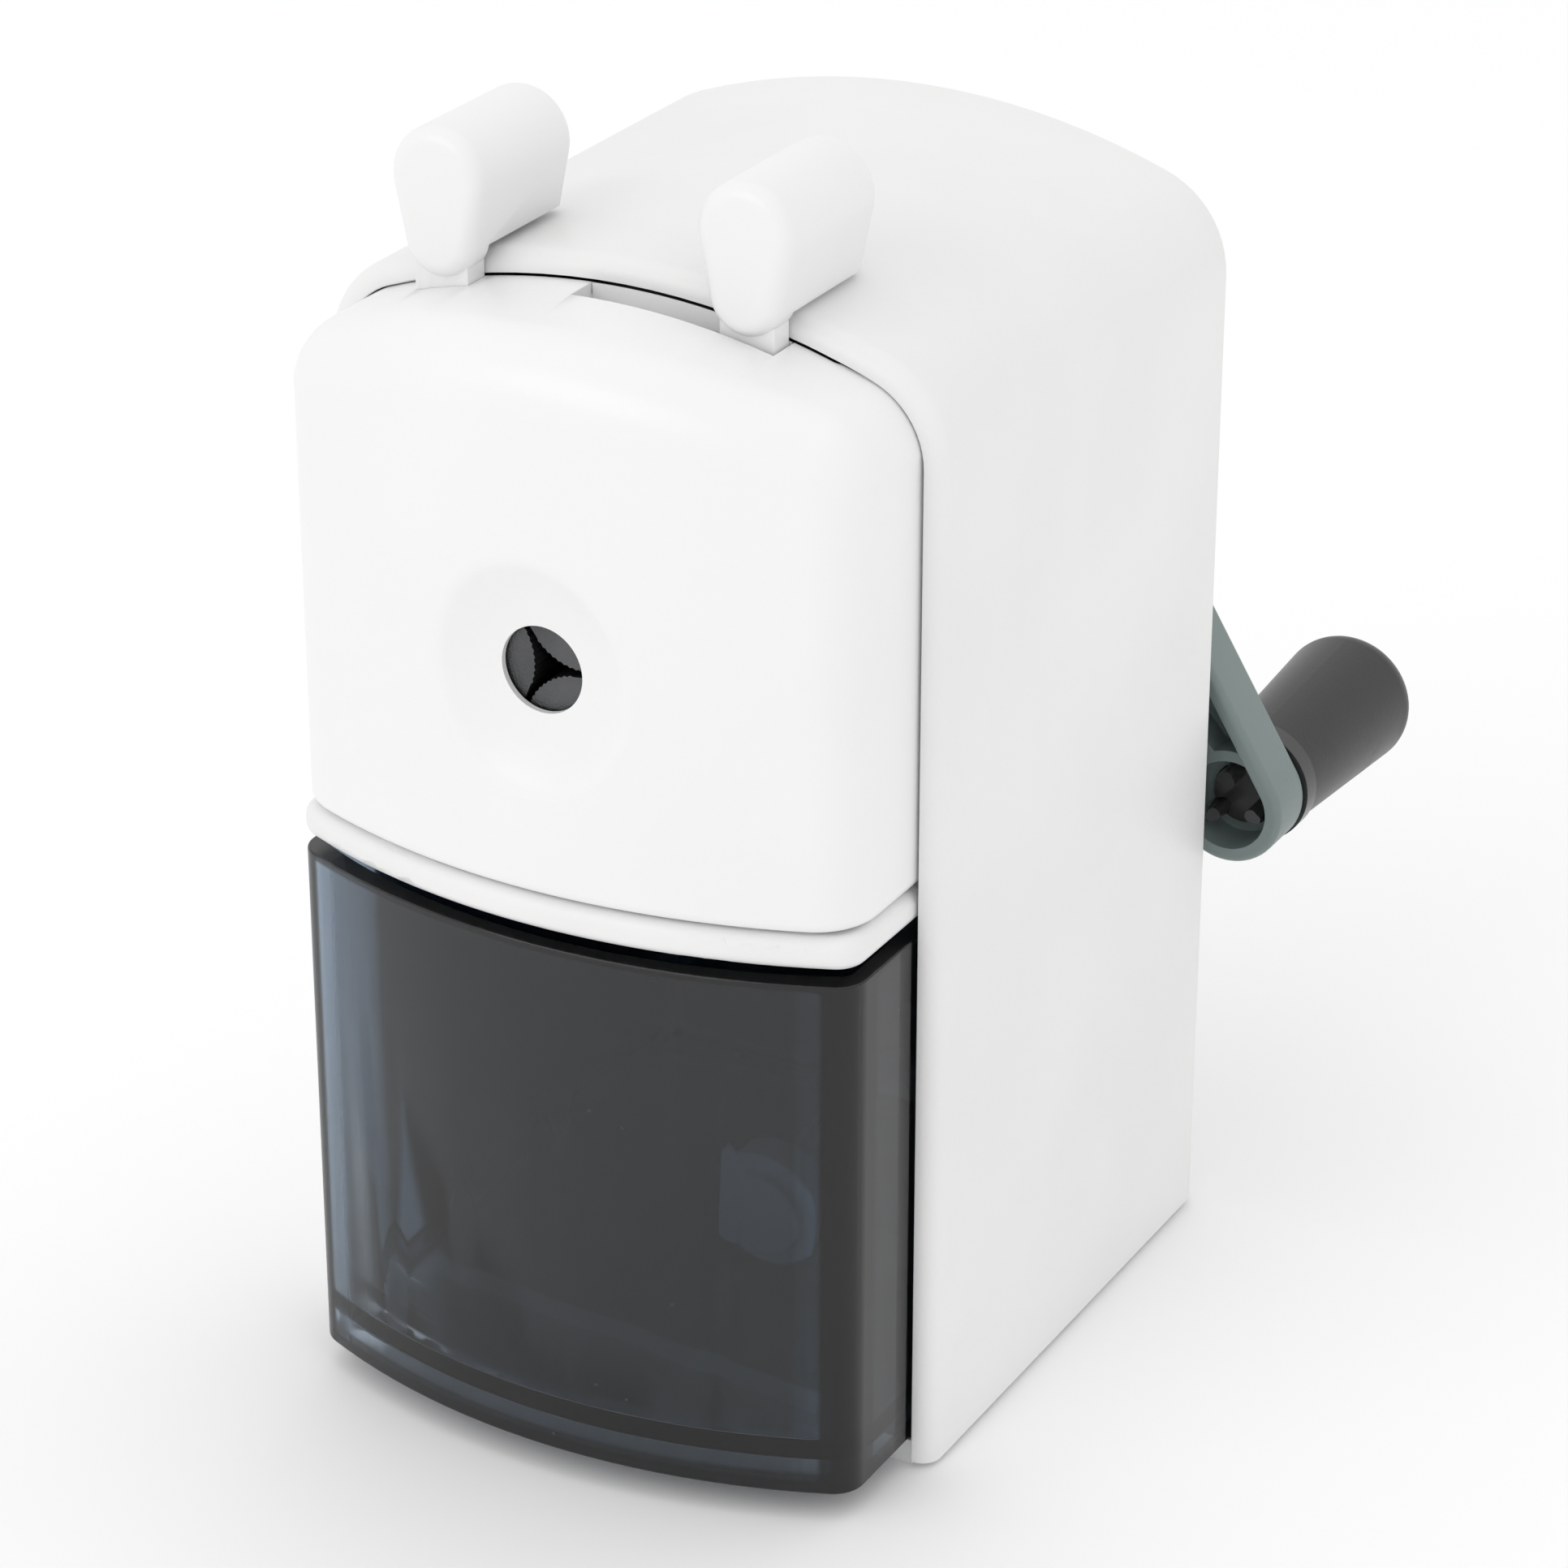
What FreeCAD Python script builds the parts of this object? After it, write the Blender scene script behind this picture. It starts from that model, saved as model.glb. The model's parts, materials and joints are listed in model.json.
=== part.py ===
"""Hand-cranked desk pencil sharpener with a pull-out jaw carriage and a shavings drawer.

Millimetres. The origin is the centre of the footprint, on the surface the feet stand on.
+X is to the right of the pencil entry, +Y runs to the crank at the back and +Z is up.
"""
import FreeCAD, Part
import math
import os

V = FreeCAD.Vector

# ---------------------------------------------------------------- driving dimensions
# casing
CASE_WIDTH = 64.0
CASE_DEPTH = 58.4
CASE_WALL = 2.2
CASE_BOTTOM = 0.6
SHOULDER_Z = 101.7
CORNER_R = 10.0
CROWN_R = 74.0
RIM_ROUND = 2.0
REAR_ROUND = 0.8
GAP = 0.15

# bowed front shared by the drawer, the fixed lip and the cover
BOW_HALF = 29.5
BOW_CORNER_AHEAD = 10.9
BOW_RISE = 6.6
BOW_CORNER_R = 3.2

# heights of the front bands
PLATE_TOP = 2.6
DRAWER_BOTTOM = 3.0
DRAWER_TOP = 56.3
LIP_BOTTOM = 57.6
LIP_TOP = 60.9
COVER_BOTTOM = 61.2

# pencil axis and entry
AXIS_Z = 82.3
ENTRY_R = 4.15
ENTRY_LENGTH = 0.2
DISH_R = 11.0
DISH_DEPTH = 3.0
DISH_RIM_ROUND = 3.0
JAW_ROOM_R = 17.2

# front cover
COVER_WALL = 2.0
COVER_ROUND = 6.5
COVER_BOTTOM_ROUND = 1.2
COVER_DEPTH_IN_CASE = 4.0

# carrier plate outline behind the cover
PLATE_HALF = 27.2
PLATE_LOW = 63.5
PLATE_SHOULDER = 98.0
PLATE_HIGH = 106.0

# stations along the pencil axis
JAW_FRONT = -43.3
JAW_BACK = -32.7
LEVER_FRONT = -32.2
LEVER_BACK = -29.4
CARRIER_FRONT = -29.1
CARRIER_BACK = -26.6
BULKHEAD_FRONT = -21.0
BULKHEAD_BACK = -18.5
YOKE_DISC_BACK = -15.9
GEAR_FRONT = -15.0
GEAR_BACK = -9.0
GEAR_SCREW_AT = 19.4
YOKE_REAR_FRONT = 20.0
YOKE_REAR_BACK = 23.0
SHAFT_END = 38.2

# cutter geometry: its axis meets the pencil axis at the apex
APEX_Y = 47.5
CUTTER_TILT = math.radians(10.0)
CUTTER_R = 5.5
CUTTER_TEETH = 10
CUTTER_TWIST = 75.0
CUTTER_NEAR = 30.3
CUTTER_FAR = 57.2
PINION_NEAR = 57.8
PINION_FAR = 63.0
PINION_TEETH = 10
RING_TEETH = 30
AXLE_R = 1.5
RUNNING = 0.06

# jaws and release lever
JAW_NOSE_R = 6.0
JAW_NOSE_AT = 7.2
JAW_PIN_AT = 11.5
JAW_PIN_ANGLE = 50.0
JAW_EAR_R = 2.6
JAW_PIN_R = 1.2
LEVER_RING_IN = 14.8
LEVER_RING_OUT = 18.4
STEM_HALF = 2.75
LEVER_X = 14.05
FIXED_X = -17.05
FIXED_FOOT_Z = 94.0
STEM_TOP = 113.4
SLOT_LEFT = -3.2
SLOT_FRONT = -32.9
LEDGE_WIDTH = 1.6
LEDGE_DROP = 1.1
SHIELD_IN = 26.6
SHIELD_OUT = 28.0
SHIELD_FRONT = -33.3
SHIELD_FROM = 40.0
SHIELD_TO = 96.0
HEAD_BOTTOM_Z = 115.8
HEAD_BOTTOM_R = 3.7
HEAD_TOP_Z = 121.3
HEAD_TOP_R = 4.8
HEAD_FRONT = -33.2
HEAD_DEPTH = 16.5
HEAD_ROUND = 1.6

# guide rods and return springs
ROD_X = 24.5
ROD_Z = 74.0
ROD_R = 2.0
ROD_BACK = 24.4
SPRING_WIRE_R = 0.4
SPRING_R = 3.1
SPRING_TURNS = 10

# crank
ARM_FRONT = 31.8
ARM_BACK = 38.3
ARM_HUB_R = 14.0
ARM_END_R = 5.9
ARM_WALL = 1.6
ARM_WEB = 1.8
ARC_RIB_R = 5.3
HUB_BOSS_R = 7.5
ARM_RIB_APART = 3.0
KNOB_X = 32.8
KNOB_Z = 44.2
SHAFT_R = 4.0

# derived places
HALF = CASE_WIDTH / 2
FRONT = -CASE_DEPTH / 2
BACK = CASE_DEPTH / 2
BOW_FRONT = FRONT - BOW_CORNER_AHEAD - BOW_RISE
CORNER_X = HALF - CORNER_R
# the crown arc is tangent to both corner arcs
CROWN_DROP = math.sqrt((CROWN_R - CORNER_R) ** 2 - CORNER_X ** 2)
CROWN_Z = SHOULDER_Z - CROWN_DROP
POSTS = [(x, z) for x in (-24.5, 24.5) for z in (67.0, 97.0)]


# ---------------------------------------------------------------- helpers
def polar(radius, degrees):
    """x and z of a point around the pencil axis, counted from +X towards +Z."""
    a = math.radians(degrees)
    return radius * math.cos(a), AXIS_Z + radius * math.sin(a)


def rod_y(x, z, radius, y0, y1):
    """Cylinder along Y."""
    return Part.makeCylinder(radius, y1 - y0, V(x, y0, z), V(0, 1, 0))


def tube_y(x, z, inner, outer, y0, y1):
    """Hollow cylinder along Y."""
    return rod_y(x, z, outer, y0, y1).cut(rod_y(x, z, inner, y0 - 1, y1 + 1))


def cone_y(x, z, r0, r1, y0, y1):
    """Cone along Y with radius r0 at y0 and r1 at y1."""
    return Part.makeCone(r0, r1, y1 - y0, V(x, y0, z), V(0, 1, 0))


def box(x0, x1, y0, y1, z0, z1):
    """Box between two corners."""
    return Part.makeBox(x1 - x0, y1 - y0, z1 - z0, V(x0, y0, z0))


def polygon_y(points, y0, y1):
    """Prism along Y over a closed outline of (x, z) points."""
    loop = [V(x, y0, z) for x, z in points]
    face = Part.Face(Part.makePolygon(loop + loop[:1]))
    return face.extrude(V(0, y1 - y0, 0))


def arch_face(inset, bottom, y):
    """Upright face with straight sides, rounded shoulders and a shallow crown."""
    half = HALF - inset
    reach = CORNER_R - inset
    ux = CORNER_X / (CROWN_R - CORNER_R)
    uz = CROWN_DROP / (CROWN_R - CORNER_R)
    knee = V(CORNER_X + reach * ux, y, SHOULDER_Z + reach * uz)
    a = math.atan2(uz, ux) / 2
    middle = V(CORNER_X + reach * math.cos(a), y, SHOULDER_Z + reach * math.sin(a))
    crown = V(0, y, CROWN_Z + CROWN_R - inset)
    flip = lambda p: V(-p.x, p.y, p.z)
    low = V(half, y, bottom)
    shoulder = V(half, y, SHOULDER_Z)
    edges = [Part.LineSegment(flip(low), low).toShape(),
             Part.LineSegment(low, shoulder).toShape(),
             Part.Arc(shoulder, middle, knee).toShape(),
             Part.Arc(knee, crown, flip(knee)).toShape(),
             Part.Arc(flip(knee), flip(middle), flip(shoulder)).toShape(),
             Part.LineSegment(flip(shoulder), flip(low)).toShape()]
    return Part.Face(Part.Wire(edges))


def arch_prism(inset, bottom, y0, y1):
    """The arch outline drawn out along Y."""
    return arch_face(inset, bottom, y0).extrude(V(0, y1 - y0, 0))


def bow_prism(inset, y_back, z0, z1):
    """Block with the bowed front shared by drawer, lip and cover, its front corners sharp."""
    half = BOW_HALF - inset
    corner_y = BOW_FRONT + BOW_RISE + inset
    left = V(-half, corner_y, z0)
    right = V(half, corner_y, z0)
    edges = [Part.Arc(left, V(0, BOW_FRONT + inset, z0), right).toShape(),
             Part.LineSegment(right, V(half, y_back, z0)).toShape(),
             Part.LineSegment(V(half, y_back, z0), V(-half, y_back, z0)).toShape(),
             Part.LineSegment(V(-half, y_back, z0), left).toShape()]
    return Part.Face(Part.Wire(edges)).extrude(V(0, 0, z1 - z0))


def front_corners(solid):
    """The two upright edges where the bow meets the sides."""
    found = []
    for edge in solid.Edges:
        box_ = edge.BoundBox
        if box_.ZLength > 1 and box_.XLength < 0.01 and box_.YLength < 0.01 and box_.YMax < FRONT:
            found.append(edge)
    return found


def rounded_bow(inset, y_back, z0, z1, radius):
    """Bowed block with rounded upright front corners."""
    solid = bow_prism(inset, y_back, z0, z1)
    return solid.makeFillet(radius, front_corners(solid))


def level_edges(solid, z, y_limit):
    """Edges lying at one height, ahead of a limit along Y."""
    found = []
    for edge in solid.Edges:
        box_ = edge.BoundBox
        level = abs(box_.ZMin - z) < 0.01 and abs(box_.ZMax - z) < 0.01
        if level and box_.YMin < y_limit:
            found.append(edge)
    return found


def edges_at_y(solid, y):
    """Edges lying in one plane across Y."""
    found = []
    for edge in solid.Edges:
        box_ = edge.BoundBox
        if abs(box_.YMin - y) < 0.01 and abs(box_.YMax - y) < 0.01:
            found.append(edge)
    return found


def fuse_all(solids):
    """One solid from many."""
    return solids[0].multiFuse(solids[1:]).removeSplitter()


def screw_y(x, z, y_head, head_out, shank_r, head_r, head_height, shank_length):
    """Cross-head screw along Y; head_out is the side, -1 or +1, that its head faces."""
    y_far = y_head - head_out * shank_length
    y_top = y_head + head_out * head_height
    shank = rod_y(x, z, shank_r, min(y_head, y_far), max(y_head, y_far))
    head = rod_y(x, z, head_r, min(y_head, y_top), max(y_head, y_top))
    slot_y = y_top - head_out * head_height * 0.5
    low = min(slot_y, y_top + head_out)
    high = max(slot_y, y_top + head_out)
    arm = head_r * 0.6
    wide = head_r * 0.16
    cross = box(x - arm, x + arm, low, high, z - wide, z + wide)
    cross = cross.fuse(box(x - wide, x + wide, low, high, z - arm, z + arm))
    return shank.fuse(head).cut(cross)


# ---------------------------------------------------------------- casing and frame
FRAME_SCREWS = [(-22.0, 66.5), (22.0, 66.5)]
BASE_SCREWS = [(-9.0, 8.0), (9.0, 8.0)]
GEAR_SCREW_ANGLES = (30.0, 150.0, 270.0)
REAR_WALL = BACK - CASE_WALL
FOOT_R = 4.9
FOOT_HEIGHT = 1.4
FEET = [(x, y) for x in (-23.5, 23.5) for y in (-22.0, 20.0)]


def casing_shell():
    outer = arch_prism(0, CASE_BOTTOM, FRONT, BACK)
    rim = [e for e in edges_at_y(outer, FRONT) if e.BoundBox.ZMax > CASE_BOTTOM + 1]
    outer = outer.makeFillet(RIM_ROUND, rim)
    rear = [e for e in edges_at_y(outer, BACK) if e.BoundBox.ZMax > CASE_BOTTOM + 1]
    outer = outer.makeFillet(REAR_ROUND, rear)
    shell = outer.cut(arch_prism(CASE_WALL, -5, FRONT - 1, REAR_WALL))
    shell = shell.cut(rod_y(0, AXIS_Z, 7.0, REAR_WALL - 1, BACK + 1))
    for x, z in FRAME_SCREWS + BASE_SCREWS:
        shell = shell.cut(rod_y(x, z, 1.6, REAR_WALL - 1, BACK + 1))
    return shell


def base_plate():
    half = HALF - CASE_WALL - 0.1
    plate = box(-half, half, FRONT + 0.6, REAR_WALL, 0, PLATE_TOP)
    upstand = box(-14, 14, REAR_WALL - 2.4, REAR_WALL, PLATE_TOP, 12)
    plate = plate.fuse(upstand)
    for x, z in BASE_SCREWS:
        plate = plate.cut(rod_y(x, z, 1.2, REAR_WALL - 4, BACK))
    for x, y in FEET:
        plate = plate.cut(Part.makeCylinder(FOOT_R + 0.1, FOOT_HEIGHT, V(x, y, 0)))
    return plate


def rubber_feet():
    feet = []
    for x, y in FEET:
        foot = Part.makeCylinder(FOOT_R, FOOT_HEIGHT, V(x, y, 0))
        ring = [e for e in foot.Edges if e.BoundBox.ZMax < 0.01]
        feet.append(foot.makeFillet(0.3, ring))
    return Part.makeCompound(feet)


def inner_frame():
    shelf = rounded_bow(0, REAR_WALL - 0.1, LIP_BOTTOM, LIP_TOP, BOW_CORNER_R)
    for z in (LIP_BOTTOM, LIP_TOP):
        shelf = shelf.makeFillet(1.35, level_edges(shelf, z, FRONT))
    shelf = shelf.cut(box(-14, 14, -8, 18, LIP_BOTTOM - 1, LIP_TOP + 1))
    bulkhead = arch_prism(CASE_WALL + 0.3, LIP_TOP - 0.4, BULKHEAD_FRONT, BULKHEAD_BACK)
    frame = shelf.fuse(bulkhead)
    for x, z in FRAME_SCREWS:
        block = box(x - 4, x + 4, REAR_WALL - 2.9, REAR_WALL - 0.1, LIP_TOP - 0.5, 71)
        frame = frame.fuse(block)
        frame = frame.cut(rod_y(x, z, 1.2, REAR_WALL - 4, BACK))
    frame = frame.cut(rod_y(0, AXIS_Z, 8.0, BULKHEAD_FRONT - 1, BULKHEAD_BACK + 1))
    for x in (-ROD_X, ROD_X):
        frame = frame.cut(rod_y(x, ROD_Z, 3.4, BULKHEAD_FRONT - 1, BULKHEAD_BACK + 1))
    for angle in GEAR_SCREW_ANGLES:
        x, z = polar(GEAR_SCREW_AT, angle)
        frame = frame.cut(rod_y(x, z, 1.1, BULKHEAD_FRONT - 1, BULKHEAD_BACK + 1))
    return frame.removeSplitter()


def front_bush():
    body = tube_y(0, AXIS_Z, 6.4 + RUNNING, 8.0, BULKHEAD_FRONT, BULKHEAD_BACK)
    flange = tube_y(0, AXIS_Z, 6.4 + RUNNING, 9.4, BULKHEAD_FRONT - 0.8, BULKHEAD_FRONT)
    return body.fuse(flange)


def rear_bush():
    body = tube_y(0, AXIS_Z, SHAFT_R + RUNNING, 7.0, REAR_WALL - 0.8, BACK)
    flange = tube_y(0, AXIS_Z, SHAFT_R + RUNNING, 8.4, BACK, BACK + 1.2)
    return body.fuse(flange)


def guide_bushes():
    bushes = []
    for x in (-ROD_X, ROD_X):
        bushes.append(tube_y(x, ROD_Z, ROD_R + RUNNING, 3.4, BULKHEAD_FRONT - 0.6, BULKHEAD_BACK + 0.6))
    return Part.makeCompound(bushes)


def screws_group(places, *sizes):
    return Part.makeCompound([screw_y(x, z, *sizes) for x, z in places])


# ---------------------------------------------------------------- gears and cutter
RING_HALF_ANGLE = CUTTER_TILT + math.atan(
    math.sin(CUTTER_TILT) / (RING_TEETH / PINION_TEETH - math.cos(CUTTER_TILT)))
PINION_HALF_ANGLE = RING_HALF_ANGLE - CUTTER_TILT


def tooth_outline(teeth, slope, parts, phase):
    """Closed gear outline at unit distance from the apex, as (across, up) points.

    Each part is (radius factor, half angle in tooth pitches); slope is the pitch radius.
    """
    points = []
    for k in range(teeth):
        middle = (k + phase) * 2 * math.pi / teeth
        for factor, half in parts:
            points.append((slope * factor, middle - half * 2 * math.pi / teeth))
        for factor, half in reversed(parts):
            points.append((slope * factor, middle + half * 2 * math.pi / teeth))
    return [(r * math.cos(a), r * math.sin(a)) for r, a in points]


def bevel_prism(outline, near, far):
    """Solid between two distances ahead of the apex; it tapers towards the apex."""
    wires = []
    for distance in (near, far):
        loop = [V(x * distance, APEX_Y - distance, AXIS_Z + z * distance) for x, z in outline]
        wires.append(Part.makePolygon(loop + loop[:1]))
    return Part.makeLoft(wires, True, True)


def tilt(solid):
    """Swing a solid built on the pencil axis onto the cutter's axis."""
    turned = solid.copy()
    turned.rotate(V(0, APEX_Y, AXIS_Z), V(1, 0, 0), -math.degrees(CUTTER_TILT))
    return turned


def ring_gear():
    slope = math.tan(RING_HALF_ANGLE)
    # the outline follows the gaps between the ring's teeth, so the hole is cut with it
    space = [(0.945, 0.34), (1.0, 0.275), (1.068, 0.16)]
    hole = bevel_prism(tooth_outline(RING_TEETH, slope, space, RING_TEETH / 4),
                       APEX_Y - GEAR_BACK - 1, APEX_Y - GEAR_FRONT + 1)
    gear = rod_y(0, AXIS_Z, 21.0, BULKHEAD_BACK, GEAR_BACK).cut(hole)
    gear = gear.cut(rod_y(0, AXIS_Z, 18.0, BULKHEAD_BACK - 1, GEAR_FRONT))
    for angle in GEAR_SCREW_ANGLES:
        x, z = polar(GEAR_SCREW_AT, angle)
        gear = gear.cut(rod_y(x, z, 0.9, BULKHEAD_BACK - 1, BULKHEAD_BACK + 3.2))
    return gear


def cutter_pinion():
    slope = math.tan(PINION_HALF_ANGLE)
    tooth = [(0.80, 0.30), (1.0, 0.205), (1.155, 0.09)]
    gear = bevel_prism(tooth_outline(PINION_TEETH, slope, tooth, PINION_TEETH / 4),
                       PINION_NEAR, PINION_FAR)
    bore = rod_y(0, AXIS_Z, AXLE_R + RUNNING, APEX_Y - PINION_FAR - 1, APEX_Y - PINION_NEAR + 1)
    return tilt(gear.cut(bore))


def helical_cutter():
    steps = 8
    wires = []
    for step in range(steps + 1):
        part = step / steps
        y = APEX_Y - CUTTER_NEAR - part * (CUTTER_FAR - CUTTER_NEAR)
        turn = math.radians(CUTTER_TWIST * part)
        loop = []
        for k in range(CUTTER_TEETH):
            start = turn + k * 2 * math.pi / CUTTER_TEETH
            pitch = 2 * math.pi / CUTTER_TEETH
            for radius, ahead in ((CUTTER_R, 0.0), (CUTTER_R - 1.1, 0.12), (CUTTER_R - 0.9, 0.55)):
                a = start + ahead * pitch
                loop.append(V(radius * math.cos(a), y, AXIS_Z + radius * math.sin(a)))
        wires.append(Part.makePolygon(loop + loop[:1]))
    body = Part.makeLoft(wires, True, True)
    bore = rod_y(0, AXIS_Z, AXLE_R + RUNNING, APEX_Y - CUTTER_FAR - 1, APEX_Y - CUTTER_NEAR + 1)
    return tilt(body.cut(bore))


def cutter_axle():
    return tilt(rod_y(0, AXIS_Z, AXLE_R, APEX_Y - 66.0, APEX_Y - 24.0))


def rotor_yoke():
    """Turning frame: hollow front journal, two discs, two tie bars and the rear shaft."""
    journal = rod_y(0, AXIS_Z, 6.4, BULKHEAD_FRONT - 1.2, -18.0)
    front = rod_y(0, AXIS_Z, 16.6, -18.1, YOKE_DISC_BACK)
    rear = rod_y(0, AXIS_Z, 12.4, YOKE_REAR_FRONT, YOKE_REAR_BACK)
    shaft = rod_y(0, AXIS_Z, SHAFT_R, YOKE_REAR_BACK - 0.5, SHAFT_END)
    bars = []
    for side in (-1, 1):
        bars.append(rod_y(side * 9.1, AXIS_Z - 5.2, 2.6, YOKE_DISC_BACK - 0.5, YOKE_REAR_FRONT + 0.5))
    yoke = fuse_all([journal, front, rear, shaft] + bars)
    yoke = yoke.cut(rod_y(0, AXIS_Z, 4.6, BULKHEAD_FRONT - 2, YOKE_DISC_BACK + 1))
    return yoke.cut(cutter_axle())


# ---------------------------------------------------------------- carriage
ROD_HEAD = CARRIER_FRONT - 1.0


def cover_block(inset, y_back):
    """Bowed block under the arch with one rounding along its sides and top front edge."""
    bottom = COVER_BOTTOM + inset
    block = bow_prism(inset, y_back, bottom, SHOULDER_Z + 20)
    block = block.common(arch_prism(CASE_WALL + GAP + inset, bottom - 5, BOW_FRONT - 5, y_back + 5))
    front = []
    for edge in block.Edges:
        box_ = edge.BoundBox
        if box_.YMax < FRONT - 1 and box_.ZMax > bottom + 1:
            front.append(edge)
    return block.makeFillet(COVER_ROUND - inset, front)


def dished(block):
    """Press a shallow spherical dish with a soft rim into the front of a block."""
    ball_r = (DISH_R ** 2 + DISH_DEPTH ** 2) / (2 * DISH_DEPTH)
    ball = Part.makeSphere(ball_r, V(0, BOW_FRONT + DISH_DEPTH - ball_r, AXIS_Z))
    pressed = block.cut(ball)
    rim = []
    for edge in pressed.Edges:
        box_ = edge.BoundBox
        centred = abs(box_.Center.z - AXIS_Z) < 1 and box_.YMax < BOW_FRONT + DISH_DEPTH
        if centred and abs(box_.ZLength - 2 * DISH_R) < 1:
            rim.append(edge)
    return pressed.makeFillet(DISH_RIM_ROUND, rim)


def lever_slots(y_back):
    """Slots for the two stems; the moving one has a low ledge behind it, under the rim."""
    top = CROWN_Z + CROWN_R
    low = AXIS_Z + 22
    slot_right = LEVER_X + STEM_HALF + 0.3
    moving = box(SLOT_LEFT, slot_right, SLOT_FRONT, LEVER_BACK + 0.1, low, top)
    ledge = box(SLOT_LEFT, slot_right, LEVER_BACK, LEVER_BACK + LEDGE_WIDTH, low, top)
    ledge = ledge.cut(arch_prism(CASE_WALL + GAP + LEDGE_DROP, low - 1, FRONT - 5, y_back))
    fixed = box(FIXED_X - STEM_HALF - 0.05, FIXED_X + STEM_HALF + 0.05,
                LEVER_FRONT - 0.05, LEVER_BACK + 0.05, low, top)
    return fuse_all([moving, ledge]), fixed


def front_cover():
    y_back = FRONT + COVER_DEPTH_IN_CASE
    outer = cover_block(0, y_back)
    outer = outer.makeFillet(COVER_BOTTOM_ROUND, level_edges(outer, COVER_BOTTOM, FRONT - 1))
    outer = dished(outer)
    cover = outer.cut(cover_block(COVER_WALL, y_back + 2))
    dish_back = BOW_FRONT + DISH_DEPTH
    boss = cone_y(0, AXIS_Z, DISH_R + 3.4, ENTRY_R + 2.4, BOW_FRONT, dish_back + ENTRY_LENGTH)
    cover = cover.fuse(boss.common(outer))
    for x, z in POSTS:
        post = rod_y(x, z, 3.0, BOW_FRONT, CARRIER_FRONT)
        cover = cover.fuse(post.common(outer))
    cover = cover.cut(rod_y(0, AXIS_Z, ENTRY_R, BOW_FRONT, dish_back + ENTRY_LENGTH + 1))
    cover = cover.cut(rod_y(0, AXIS_Z, JAW_ROOM_R, JAW_FRONT - 0.1, CARRIER_FRONT))
    for slot in lever_slots(y_back):
        cover = cover.cut(slot)
    for x, z in POSTS:
        cover = cover.cut(rod_y(x, z, 1.1, CARRIER_FRONT - 7, CARRIER_BACK))
    return cover


def carrier_plate():
    outline = [(-PLATE_HALF, PLATE_LOW), (PLATE_HALF, PLATE_LOW), (PLATE_HALF, PLATE_SHOULDER),
               (CORNER_X, PLATE_HIGH), (-CORNER_X, PLATE_HIGH), (-PLATE_HALF, PLATE_SHOULDER)]
    plate = polygon_y(outline, CARRIER_FRONT, CARRIER_BACK)
    boss = rod_y(0, AXIS_Z, LEVER_RING_IN - 0.08, JAW_BACK + 0.1, CARRIER_FRONT)
    plate = plate.fuse(boss)
    plate = plate.cut(rod_y(0, AXIS_Z, ENTRY_R + 1.2, JAW_BACK - 1, CARRIER_BACK + 1))
    for angle in JAW_ANGLES:
        x, z = polar(JAW_PIN_AT, angle + JAW_PIN_ANGLE)
        plate = plate.cut(rod_y(x, z, JAW_PIN_R, JAW_BACK - 1, CARRIER_BACK + 1))
    for x in (-ROD_X, ROD_X):
        plate = plate.cut(rod_y(x, ROD_Z, ROD_R, CARRIER_FRONT - 1, CARRIER_BACK + 1))
    for x, z in POSTS:
        plate = plate.cut(rod_y(x, z, 1.3, CARRIER_FRONT - 1, CARRIER_BACK + 1))
    return plate.removeSplitter()


JAW_ANGLES = (60.0, 180.0, 300.0)


def jaw(angle):
    """Cam-shaped jaw: a round nose near the pencil and an ear on its own pin."""
    nose_x, nose_z = polar(JAW_NOSE_AT, angle)
    pin_x, pin_z = polar(JAW_PIN_AT, angle + JAW_PIN_ANGLE)
    nose = rod_y(nose_x, nose_z, JAW_NOSE_R, JAW_FRONT, JAW_BACK)
    ear = rod_y(pin_x, pin_z, JAW_EAR_R, JAW_FRONT, JAW_BACK)
    # the web is the band between the outer tangents of nose and ear
    dx = pin_x - nose_x
    dz = pin_z - nose_z
    apart = math.hypot(dx, dz)
    lean = math.acos((JAW_NOSE_R - JAW_EAR_R) / apart)
    along = math.atan2(dz, dx)
    corners = []
    for x, z, r, side in ((nose_x, nose_z, JAW_NOSE_R, 1), (pin_x, pin_z, JAW_EAR_R, 1),
                          (pin_x, pin_z, JAW_EAR_R, -1), (nose_x, nose_z, JAW_NOSE_R, -1)):
        a = along + side * lean
        corners.append((x + r * math.cos(a), z + r * math.sin(a)))
    body = fuse_all([nose, ear, polygon_y(corners, JAW_FRONT, JAW_BACK)])
    return body.cut(rod_y(pin_x, pin_z, JAW_PIN_R + RUNNING, JAW_FRONT - 1, JAW_BACK + 1))


def jaw_pins():
    pins = []
    for angle in JAW_ANGLES:
        x, z = polar(JAW_PIN_AT, angle + JAW_PIN_ANGLE)
        pins.append(rod_y(x, z, JAW_PIN_R, JAW_FRONT + 0.2, CARRIER_BACK))
    return Part.makeCompound(pins)


def guide_rod(x):
    rod = rod_y(x, ROD_Z, ROD_R, ROD_HEAD, ROD_BACK)
    rod = rod.fuse(rod_y(x, ROD_Z, 3.0, ROD_HEAD - 1.0, CARRIER_FRONT))
    groove = tube_y(x, ROD_Z, ROD_R - 0.4, ROD_R + 1, ROD_BACK - 2.0, ROD_BACK - 1.2)
    return rod.cut(groove)


def rod_clips():
    clips = []
    for x in (-ROD_X, ROD_X):
        clip = tube_y(x, ROD_Z, ROD_R - 0.4, 3.7, ROD_BACK - 2.0, ROD_BACK - 1.2)
        clips.append(clip.cut(box(x - 1.2, x + 1.2, ROD_BACK - 3, ROD_BACK, ROD_Z - 5, ROD_Z)))
    return Part.makeCompound(clips)


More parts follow.
